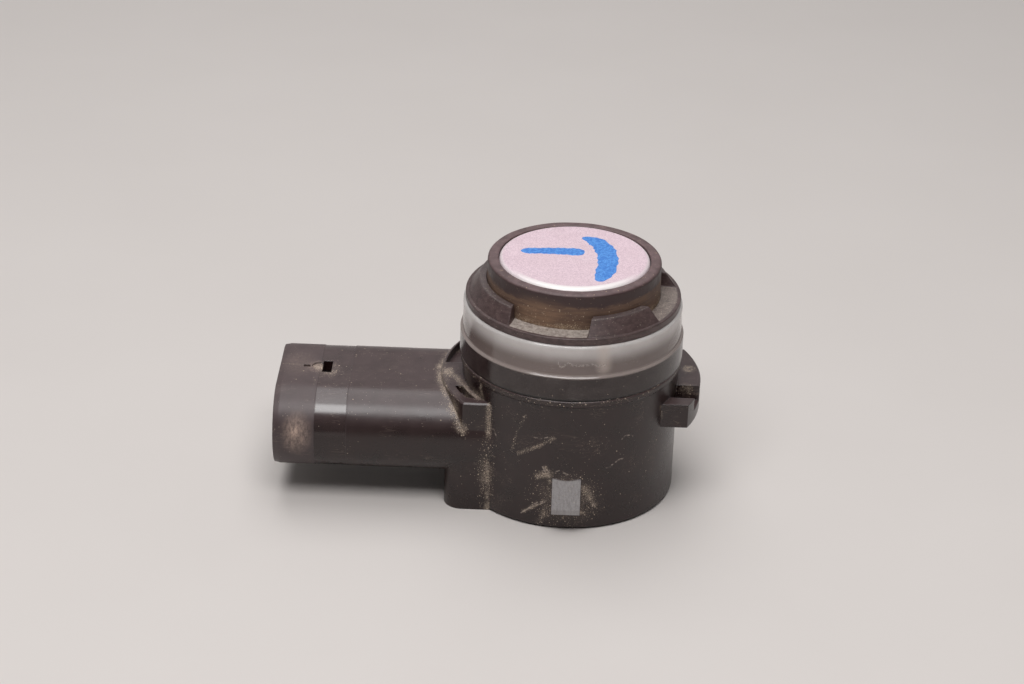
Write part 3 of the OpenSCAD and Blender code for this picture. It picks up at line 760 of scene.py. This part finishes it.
def housing_finish():
    """Black moulded plastic: satin skin, a polished sealing band, a dull mouth, dust in the corners and
    hairlines. Painted light: a dust film that also gives upward faces a painted sheen, edges lightened
    part for wear and part as painted highlight, painted reflection on the snap wedges' ramps, and painted
    shade in the seam."""
    material, tree, shader = new_material("housing_plastic")
    place = millimetres(tree)
    grain = apply(tree, GRAIN, {"Place": place})
    x, _, z = split(tree, place)
    soft_edge = put(tree, "ShaderNodeBevel", {"Radius": EDGE_SOFT * MM}, samples=6).outputs[0]
    true_normal = put(tree, "ShaderNodeNewGeometry").outputs["Normal"]
    up = split(tree, true_normal)[2]
    edge = ramp(tree, measure(tree, "DISTANCE", soft_edge, true_normal), 0.12, 0.6)

    outside = ramp(tree, from_axis(tree, place), BODY_R + 0.03, BODY_R + 0.1)
    inside_width = ramp(tree, calc(tree, "ABSOLUTE", x), WEDGE_HALF - 0.06, WEDGE_HALF - 0.02, 1.0, 0.0)
    inside_height = times(tree, ramp(tree, z, WEDGE_LOW + 0.03, WEDGE_LOW + 0.1),
        ramp(tree, z, WEDGE_HIGH - 0.08, WEDGE_HIGH, 1.0, 0.0))
    rubbed = noise(tree, vector(tree, "MULTIPLY", place, (5.0, 5.0, 0.7)), 1.0, 3.0)
    wedge = times(tree, outside, inside_width, inside_height)

    dust_lines = streaks(tree, place, DUST_LINES)
    dust_lumps = patches(tree, place, DUST_LUMPS)
    lying = times(tree, ramp(tree, up, 0.2, 0.9, 0.019, 0.034),
        ramp(tree, noise(tree, place, 5.0, 1.0), 0.42, 0.66, 0.35, 1.0))
    under_seam = near(tree, z, ring_low[2] - 0.2, 0.1, 0.5, 0.2)
    amount = times(tree, most(tree, [dust_lines, dust_lumps, lying, under_seam]),
        calc(tree, "MULTIPLY_ADD", wedge, -0.9, 1.0))
    dust = apply(tree, DUST, {"Place": place, "Amount": amount})
    # Dust film on upward faces that also serves as painted sheen: it lightens the tops and the arm's rounded
    # shoulder.
    film = times(tree, ramp(tree, noise(tree, place, 1.6, 5.0, 0.65), 0.3, 0.75, 0.68, 1.0),
        ramp(tree, up, 0.15, 0.9, 0.012, 0.23))
    rubbed_dirt = noise(tree, vector(tree, "MULTIPLY", place, (1.5, 1.0, 0.85)), 0.45, 5.0, 0.75)
    smear = times(tree, ramp(tree, rubbed_dirt, 0.36, 0.64, 0.25, 1.0), patches(tree, place, SMEARS))
    hair = apply(tree, HAIRLINES, {"Place": place, "Amount": 0.24})["Mask"]
    lying_hairs = streaks(tree, place, [mark for points in HAIRS for mark in chain(points, 0.13, 0.75)])
    fluff = times(tree, lying_hairs, ramp(tree, noise(tree, place, 0.35, 2.0), 0.4, 0.62))

    on_band = times(tree, ramp(tree, x, BAND_OUT - 0.05, BAND_OUT + 0.05),
        ramp(tree, x, BAND_IN - 0.05, BAND_IN + 0.05, 1.0, 0.0),
        ramp(tree, up, 0.8, 0.99, 1.0, 0.2), ramp(tree, up, 0.1, 0.35))
    at_mouth = ramp(tree, x, BAND_OUT - 0.05, BAND_OUT + 0.05, 1.0, 0.0)
    # Painted reflection: the snap wedges' ramps are painted light grey, patchy by noise, for the sky they
    # reflect.
    wedge_reflection = times(tree, wedge, ramp(tree, rubbed, 0.3, 0.65, 0.78, 1.0))

    colour = blend(tree, grain["Tone"], PLASTIC_DARK, PLASTIC_LIGHT)
    dull = times(tree, at_mouth, ramp(tree, up, 0.6, 0.95, 0.38, 0.15))
    colour = blend(tree, dull, colour, MOUTH_GREY)
    colour = blend(tree, film, colour, DUST_FILM_SHEEN_GREY)
    colour = blend(tree, smear, colour, SMEAR_BROWN)
    # Edges lightened where the shading rounds them: part wear, part painted highlight.
    colour = blend(tree, times(tree, edge, 0.3), colour, EDGE_WEAR_HIGHLIGHT_GREY)
    colour = blend(tree, hair, colour, HAIRLINE_TAN)
    colour = blend(tree, fluff, colour, FLUFF_TAN)
    # Painted shade in the seam under the clear ring, which casts no shadow.
    seam_shade = times(tree, ramp(tree, z, ring_low[2] - 0.03, ring_low[2]), ramp(tree, up, 0.5, 0.9))
    colour = blend(tree, seam_shade, colour, SEAM_PAINTED_SHADE)
    wedge_reflection_grey = blend(tree, grain["Height"], WEDGE_REFLECTION_DARK, WEDGE_REFLECTION_LIGHT)
    colour = blend(tree, wedge_reflection, colour, wedge_reflection_grey)
    colour = blend(tree, times(tree, dust["Cover"], DUST_HIDES), colour, dust["Colour"])

    rough = fade(tree, grain["Tone"], 0.25, 0.33)
    rough = fade(tree, at_mouth, rough, 0.44)
    rough = fade(tree, on_band, rough, 0.17)
    rough = fade(tree, wedge, rough, 0.42)
    rough = fade(tree, most(tree, [dust["Cover"], times(tree, film, 0.2), hair, smear]), rough, 0.85)

    normal = bump(tree, grain["Height"], 0.012, ramp(tree, on_band, 0.0, 1.0, 0.55, 0.12), soft_edge)
    normal = bump(tree, dust["Crumbs"], CRUMB_H, dust["Cover"], normal)
    feed(tree, shader, Base_Color=colour, Roughness=rough, Normal=normal, IOR=1.55,
        Coat_Weight=times(tree, on_band, 0.8), Coat_Roughness=0.2)
    return material


def clear_finish():
    """Clear plastic over dark parts, tinted smoky, with painted light: pale under its upper lip, where light
    comes in through the top, darker towards the ledge, a painted highlight on the ledge and painted shade in
    the foot and the seam; with hairlines, a pale vertical stripe and a scratched zigzag at the front."""
    material, tree, shader = new_material("clear_plastic")
    place = millimetres(tree)
    zigzag = streaks(tree, place, chain(ZIGZAG, 0.2, 1.0))
    zigzag = times(tree, zigzag, ramp(tree, noise(tree, place, 0.3, 3.0, 0.7), 0.42, 0.6, 0.0, 0.9))
    pale_stripe = streaks(tree, place, [PALE_STRIPE])
    hair = calc(tree, "MAXIMUM", apply(tree, HAIRLINES, {"Place": place, "Amount": 0.25})["Mask"], zigzag)
    veil = noise(tree, place, 1.4, 3.0)
    z = split(tree, place)[2]
    seam_top = ring_low[2] + SEAM_H
    ledge = ring_low[2] + LEDGE_H
    rough = fade(tree, hair, ramp(tree, veil, 0.3, 0.8, 0.10, 0.17), 0.5)
    rough = fade(tree, ramp(tree, z, ledge - 0.4, ledge - 0.1, 1.0, 0.0), rough, 0.2)
    # Painted light: pale under the upper lip where light comes in through the top, darker towards the ledge.
    colour = blend(tree, ramp(tree, z, ledge + 1.0, ring_high[2] - 0.2), CLEAR_SMOKE_SHADED, CLEAR_LIT_TOP)
    # Painted highlight on the ledge's level top.
    colour = blend(tree, near(tree, z, ledge - 0.03, 0.06, 0.3, 0.7), colour, CLEAR_LEDGE_HIGHLIGHT)
    # Painted shade in the foot below the ledge.
    colour = blend(tree, ramp(tree, z, ledge - 0.32, ledge - 0.08, 1.0, 0.0), colour, CLEAR_FOOT_SHADE)
    colour = blend(tree, ramp(tree, veil, 0.35, 0.75, 0.0, 0.12), colour, CLEAR_HAZE)
    # Pale vertical stripe on the ring's upper band.
    colour = blend(tree, pale_stripe, colour, CLEAR_STRIPE)
    colour = blend(tree, times(tree, hair, 0.6), colour, CLEAR_SCRATCH)
    # Painted shade in the seam groove above the foot.
    colour = blend(tree, ramp(tree, z, seam_top + 0.05, seam_top + 0.28, 0.95, 0.0), colour, CLEAR_SEAM_SHADE)
    dust = apply(tree, DUST, {"Place": place, "Amount": 0.026})
    colour = blend(tree, times(tree, dust["Cover"], 0.8), colour, dust["Colour"])
    feed(tree, shader, Base_Color=colour, Roughness=rough, IOR=1.56, Transmission_Weight=0.45)
    return material


def crown_finish():
    """Dull black plastic with grey dust on the floors of the gaps, a painted highlight along the teeth's top
    edges and painted light on the sleeve behind the clear ring, brightest towards the top."""
    material, tree, shader = new_material("crown_plastic")
    place = millimetres(tree)
    grain = apply(tree, GRAIN, {"Place": place})
    x, _, z = split(tree, place)
    radius = from_axis(tree, place)
    up = facing_up(tree)
    flange_top = crown_high[2] - CROWN_H
    flange_low = flange_top - FLANGE_T
    sleeve_r = ring_high[0] - LEDGE_T - RING_WALL - SLEEVE_GAP
    floor = times(tree, ramp(tree, up, 0.85, 0.98),
        ramp(tree, z, flange_top + 0.1, flange_top + 0.4, 1.0, 0.0),
        ramp(tree, radius, crown_high[0] - 0.45, crown_high[0] - 0.3, 1.0, 0.0))
    inner = ramp(tree, radius, NECK_R + 0.1, NECK_R + 1.9, 1.0, 0.75)
    film = times(tree, floor, inner, ramp(tree, noise(tree, place, 0.45, 5.0, 0.75), 0.3, 0.65, 0.2, 1.0),
        ramp(tree, x, 6.0, 8.4, 1.0, 0.4))
    crest = ramp(tree, z, crown_high[2] - 0.16, crown_high[2] - 0.02)
    lying = most(tree, [times(tree, floor, 0.6), ramp(tree, up, 0.4, 0.8, 0.02, 0.06),
        times(tree, crest, 0.2)])
    dust = apply(tree, DUST, {"Place": place, "Amount": lying})
    blotches = noise(tree, vector(tree, "MULTIPLY", place, (0.8, 0.8, 1.8)), 0.8, 5.0, 0.7)
    sleeve = times(tree, ramp(tree, radius, sleeve_r - 0.08, sleeve_r - 0.03),
        ramp(tree, z, flange_low - 0.1, flange_low - 0.02, 1.0, 0.0))
    # Painted light on the sleeve behind the clear ring, brighter towards the top, where light comes in
    # through the ring.
    veil = times(tree, sleeve, ramp(tree, z, crown_low[2] + 0.25, flange_low - 0.7))
    hair = apply(tree, HAIRLINES, {"Place": place, "Amount": 0.16})["Mask"]

    colour = blend(tree, ramp(tree, blotches, 0.34, 0.66), CROWN_DARK, CROWN_LIGHT)
    colour = blend(tree, film, colour, CROWN_FILM)
    # Painted highlight along the top edges of the teeth.
    colour = blend(tree, times(tree, crest, 0.35), colour, CROWN_CREST_HIGHLIGHT)
    colour = blend(tree, hair, colour, CROWN_HAIRLINE)
    grey_dust = blend(tree, 0.55, dust["Colour"], CROWN_DUST)
    colour = blend(tree, times(tree, dust["Cover"], DUST_HIDES), colour, grey_dust)
    colour = blend(tree, veil, colour, SLEEVE_PAINTED_LIGHT)
    rough = fade(tree, most(tree, [dust["Cover"], film]), fade(tree, grain["Tone"], 0.34, 0.44), 0.9)
    normal = bump(tree, grain["Height"], 0.014, 0.8)
    normal = bump(tree, dust["Crumbs"], CRUMB_H, dust["Cover"], normal)
    feed(tree, shader, Base_Color=colour, Roughness=rough, Normal=normal)
    return material


def silicone_finish():
    """Soft dark rubber, upward faces painted lighter for the light on them, brown dust low on the neck."""
    material, tree, shader = new_material("silicone")
    place = millimetres(tree)
    z = split(tree, place)[2]
    up = facing_up(tree)
    crown_top = crown_high[2]
    lumps = noise(tree, place, 1.1, 3.0)
    fine = noise(tree, place, 0.16, 3.0)
    edge_height = calc(tree, "MULTIPLY_ADD", lumps, 0.9, z)
    low_wall = ramp(tree, edge_height, crown_top + 1.15, crown_top + 1.55, 1.0, 0.0)
    foot = ramp(tree, z, crown_top - CROWN_H + 0.15, crown_top - CROWN_H + 1.0, 0.8, 0.0)
    streaky = noise(tree, vector(tree, "MULTIPLY", place, (0.35, 0.35, 3.0)), 0.8, 3.0)
    clods = patches(tree, place, NECK_EARTH)
    earth = times(tree, most(tree, [times(tree, low_wall, 0.62), clods]),
        ramp(tree, streaky, 0.32, 0.66, 0.5, 1.0))
    amount = most(tree, [times(tree, clods, 0.14), foot, ramp(tree, up, 0.6, 1.0, 0.02, 0.05)])
    dust = apply(tree, DUST, {"Place": place, "Amount": amount})
    # Upward faces painted lighter for the light that falls on them, patchy by lumps.
    lit_top = times(tree, ramp(tree, up, 0.2, 0.9), ramp(tree, lumps, 0.3, 0.7, 0.45, 1.0))
    colour = blend(tree, lumps, RUBBER_DARK, RUBBER_LIGHT)
    colour = blend(tree, times(tree, lit_top, 0.6), colour, RUBBER_TOP_LIGHT)
    colour = blend(tree, times(tree, earth, 0.95), colour, EARTH_BROWN)
    ochre_dust = blend(tree, 0.4, dust["Colour"], OCHRE)
    colour = blend(tree, times(tree, dust["Cover"], DUST_HIDES), colour, ochre_dust)
    rough = fade(tree, most(tree, [dust["Cover"], earth]), ramp(tree, lumps, 0.3, 0.7, 0.42, 0.56), 0.88)
    normal = bump(tree, lumps, 0.06, 0.6)
    normal = bump(tree, fine, 0.016, 0.7, normal)
    feed(tree, shader, Base_Color=colour, Roughness=rough, Normal=normal)
    return material


def face_finish():
    """Pale silver paint with a fine grain and a painted highlight on the rounded rim, broadest at the front.
    """
    material, tree, shader = new_material("membrane_paint")
    place = millimetres(tree)
    radius = from_axis(tree, place)
    flakes = noise(tree, place, 0.13, 2.0, 0.75)
    cloud = noise(tree, place, 2.2, 4.0, 0.6)
    y = split(tree, place)[1]
    # Painted highlight along the rounded rim: broad at the front, where the rim faces the light, and thin all
    # round.
    lit_front = ramp(tree, y, -6.9, -3.0, 1.0, 0.0)
    rim = most(tree, [times(tree, ramp(tree, radius, CUP_R - 0.95, CUP_R - 0.6), lit_front),
        ramp(tree, radius, CUP_R - 0.45, CUP_R - 0.2, 0.0, 0.45)])
    colour = blend(tree, ramp(tree, flakes, 0.32, 0.68), PAINT_DARK, PAINT_LIGHT)
    colour = blend(tree, times(tree, ramp(tree, cloud, 0.4, 0.75), 0.22), colour, PAINT_CLOUD)
    colour = blend(tree, rim, colour, PAINT_RIM_HIGHLIGHT)
    hair = apply(tree, HAIRLINES, {"Place": place, "Amount": 0.25})["Mask"]
    colour = blend(tree, hair, colour, PAINT_HAIRLINE)
    rough = ramp(tree, flakes, 0.2, 0.8, 0.36, 0.52)
    normal = bump(tree, flakes, 0.012, 0.7)
    feed(tree, shader, Base_Color=colour, Roughness=rough, Normal=normal, Metallic=0.1)
    return material


def marker_finish():
    """Blue marker paint, mottled by bubbles."""
    material, tree, shader = new_material("marker_paint")
    place = millimetres(tree)
    bubbles = put(tree, "ShaderNodeTexVoronoi", {"Vector": place, "Scale": 2.6}).outputs["Distance"]
    fine = noise(tree, place, 0.14, 3.0)
    mottle = times(tree, ramp(tree, bubbles, 0.2, 0.6), ramp(tree, fine, 0.35, 0.65))
    colour = blend(tree, mottle, MARKER_DARK, MARKER_LIGHT)
    rough = ramp(tree, fine, 0.3, 0.7, 0.3, 0.5)
    normal = bump(tree, bubbles, 0.02, 0.6)
    normal = bump(tree, fine, 0.01, 0.6, normal)
    feed(tree, shader, Base_Color=colour, Roughness=rough, Normal=normal)
    return material


def inner_finish(name, dark, light, lump, rough, metal=0.0, depth=0.01, stretch=(1, 1, 1)):
    """Finish of an inner piece: two tones over noise of one lump size, drawn out along an axis if asked."""
    material, tree, shader = new_material(name)
    place = vector(tree, "MULTIPLY", millimetres(tree), stretch)
    tones = apply(tree, TWO_TONES, {
        "Place": place, "Fineness": 1 / lump, "Dark": (*dark, 1), "Light": (*light, 1)})
    normal = bump(tree, tones["Grain"], depth, 0.7)
    feed(tree, shader, Base_Color=tones["Colour"], Normal=normal, Metallic=metal,
        Roughness=ramp(tree, tones["Grain"], 0.3, 0.7, rough - 0.07, rough + 0.07))
    return material


# Looks of the inner pieces: colours as red, green and blue, lumps and depth in millimetres
INNER_LOOKS = {
    "piezo_ceramic": dict(dark=(0.50, 0.42, 0.30), light=(0.62, 0.54, 0.40), lump=0.3, rough=0.45),
    "filler_foam": dict(dark=(0.20, 0.20, 0.19), light=(0.34, 0.33, 0.31), lump=0.5, rough=0.9, depth=0.1),
    "wire_copper": dict(dark=(0.62, 0.27, 0.14), light=(0.80, 0.42, 0.25), lump=0.3, rough=0.3, metal=1.0),
    "board_laminate": dict(dark=(0.010, 0.075, 0.028), light=(0.02, 0.13, 0.05), lump=0.4, rough=0.4),
    "chip_resin": dict(dark=(0.012, 0.012, 0.013), light=(0.03, 0.03, 0.031), lump=0.2, rough=0.6),
    "ferrite": dict(dark=(0.035, 0.032, 0.03), light=(0.07, 0.065, 0.062), lump=0.25, rough=0.55),
    "bobbin_plastic": dict(dark=(0.50, 0.45, 0.36), light=(0.62, 0.57, 0.47), lump=0.8, rough=0.45),
    "can_metal": dict(dark=(0.55, 0.55, 0.56), light=(0.75, 0.75, 0.76), lump=0.4, rough=0.28, metal=1.0,
        depth=0.004, stretch=(1, 1, 0.1)),
    "capacitor_ceramic": dict(dark=(0.36, 0.24, 0.14), light=(0.50, 0.36, 0.23), lump=0.25, rough=0.5),
    "terminal_tin": dict(dark=(0.56, 0.55, 0.53), light=(0.78, 0.77, 0.74), lump=0.3, rough=0.3, metal=1.0,
        depth=0.004, stretch=(0.15, 1, 1)),
}

finishes = {
    "housing_plastic": housing_finish(),
    "clear_plastic": clear_finish(),
    "crown_plastic": crown_finish(),
    "silicone": silicone_finish(),
    "membrane_paint": face_finish(),
}
for name, look in INNER_LOOKS.items():
    finishes[name] = inner_finish(name, **look)

# Every solid gets its finish; the slot's name is the name of the material that it came with.
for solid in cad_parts.values():
    for holder in solid.material_slots:
        holder.material = finishes[holder.material.name.split(".")[0]]

# Turned pieces that stand for their solids
for piece, node, slot in (
    (make_clear_ring(), "clear_ring", "clear_plastic"),
    (make_crown(), "crown_ring", "crown_plastic"),
    (make_soft_ring(), "decoupling_ring", "silicone"),
    (make_membrane_cup(), "membrane_cup", "membrane_paint"),
):
    piece.data.materials.append(finishes[slot])
    piece.visible_shadow = node != "clear_ring"
    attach(piece, "root")
    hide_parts(node)

# Two separate dabs of marker paint on the face: a short dash and a thick curved dab beside it
marker = marker_finish()
for piece in (
    make_paint_stroke("marker_dash", [(-5.6, 0.95), (-3.6, 1.15), (-1.2, 1.35), (1.0, 1.05)],
        [0, 0.1, 0.25, 0.6, 1], [0.4, 0.72, 0.66, 0.78, 0.9], 0.03),
    make_paint_stroke("marker_dab", [(0.7, 4.6), (3.4, 4.5), (4.3, -1.2), (2.4, -5.7)],
        [0, 0.2, 0.45, 0.8, 1], [0.45, 0.95, 1.08, 1.02, 0.8], 0.035),
):
    piece.data.materials.append(marker)
    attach(piece, "root")


# Floor, light and camera


def make_floor():
    """Plain pale ground under the part: a flat square grid, level with the part's rear face."""
    half_width, count = 2.0, 5
    side = np.linspace(-half_width, half_width, count)
    x, y = np.meshgrid(side, side, indexing="ij")
    points = np.stack([x, y, np.full_like(x, housing_low[2] * MM)], -1).reshape(-1, 3)
    number = np.arange(count * count).reshape(count, count)
    corners = [number[:-1, :-1], number[1:, :-1], number[1:, 1:], number[:-1, 1:]]
    quads = np.stack(corners, -1).reshape(-1, 4)
    mesh = bpy.data.meshes.new("floor")
    mesh.from_pydata(points, [], quads.tolist())
    floor = bpy.data.objects.new("floor", mesh)
    bpy.context.scene.collection.objects.link(floor)
    material, tree, shader = new_material("floor_paper")
    tone = noise(tree, millimetres(tree), 30.0, 3.0)
    feed(tree, shader, Base_Color=blend(tree, tone, FLOOR_DARK, FLOOR_LIGHT), Roughness=0.7)
    mesh.materials.append(material)


# Point that both lamps are turned to, in metres
LAMP_AIM = Vector((-0.006, 0.0, 0.012))


def make_lamp(name, place, size, power):
    """Soft rectangular light; its place and size are in metres and its power in watts."""
    light = bpy.data.lights.new(name, "AREA")
    light.shape = "RECTANGLE"
    light.size, light.size_y = size
    light.energy = power
    lamp = bpy.data.objects.new(name, light)
    lamp.location = place
    lamp.rotation_euler = (LAMP_AIM - Vector(place)).to_track_quat("-Z", "Y").to_euler()
    bpy.context.scene.collection.objects.link(lamp)


# Camera: the point it looks at and its distance, in millimetres, its angles and its slight roll
TARGET = np.array([-6.234, 1.539, 14.988])
DISTANCE = 270.12
AZIMUTH = np.radians(0.878)
ELEVATION = np.radians(27.12)
ROLL = np.radians(1.75)


def make_camera():
    """Camera on a sphere round the target: its back axis points from the target to the camera, its right axis
    lies level, and both right and up are then rolled about the back axis."""
    outward = np.array([np.sin(AZIMUTH), -np.cos(AZIMUTH), 0.0])
    back = outward * np.cos(ELEVATION) + np.array([0.0, 0.0, np.sin(ELEVATION)])
    level = np.array([np.cos(AZIMUTH), np.sin(AZIMUTH), 0.0])
    upright = np.cross(back, level)
    right = level * np.cos(ROLL) + upright * np.sin(ROLL)
    up = upright * np.cos(ROLL) - level * np.sin(ROLL)
    turn = np.eye(4)
    turn[:3, :3] = np.stack([right, up, back], 1)
    turn[:3, 3] = (TARGET + back * DISTANCE) * MM
    lens = bpy.data.cameras.new("camera")
    lens.lens = 90
    lens.sensor_width = 36
    lens.sensor_fit = "HORIZONTAL"
    lens.clip_start = 0.01
    camera = bpy.data.objects.new("camera", lens)
    camera.matrix_world = Matrix(turn.tolist())
    bpy.context.scene.collection.objects.link(camera)
    bpy.context.scene.camera = camera


def make_studio():
    """Surroundings that grow brighter, without an edge, from the camera's side to the back."""
    world = bpy.data.worlds.new("studio")
    world.use_nodes = True
    tree = world.node_tree
    way = put(tree, "ShaderNodeTexCoord").outputs["Generated"]
    to_back = split(tree, way)[1]
    strength = ramp(tree, to_back, 0.0, 0.95, 0.13, 0.38)
    wire(tree, tree.nodes["Background"], {"Strength": strength, "Color": STUDIO_WHITE})
    bpy.context.scene.world = world


make_floor()
make_lamp("front_softbox", place=(-0.03, -0.16, 0.325), size=(0.30, 0.145), power=0.80)
make_lamp("overhead_softbox", place=(-0.03, 0.10, 0.36), size=(0.25, 0.36), power=0.61)
make_camera()
make_studio()
bpy.context.scene.view_settings.view_transform = "Standard"
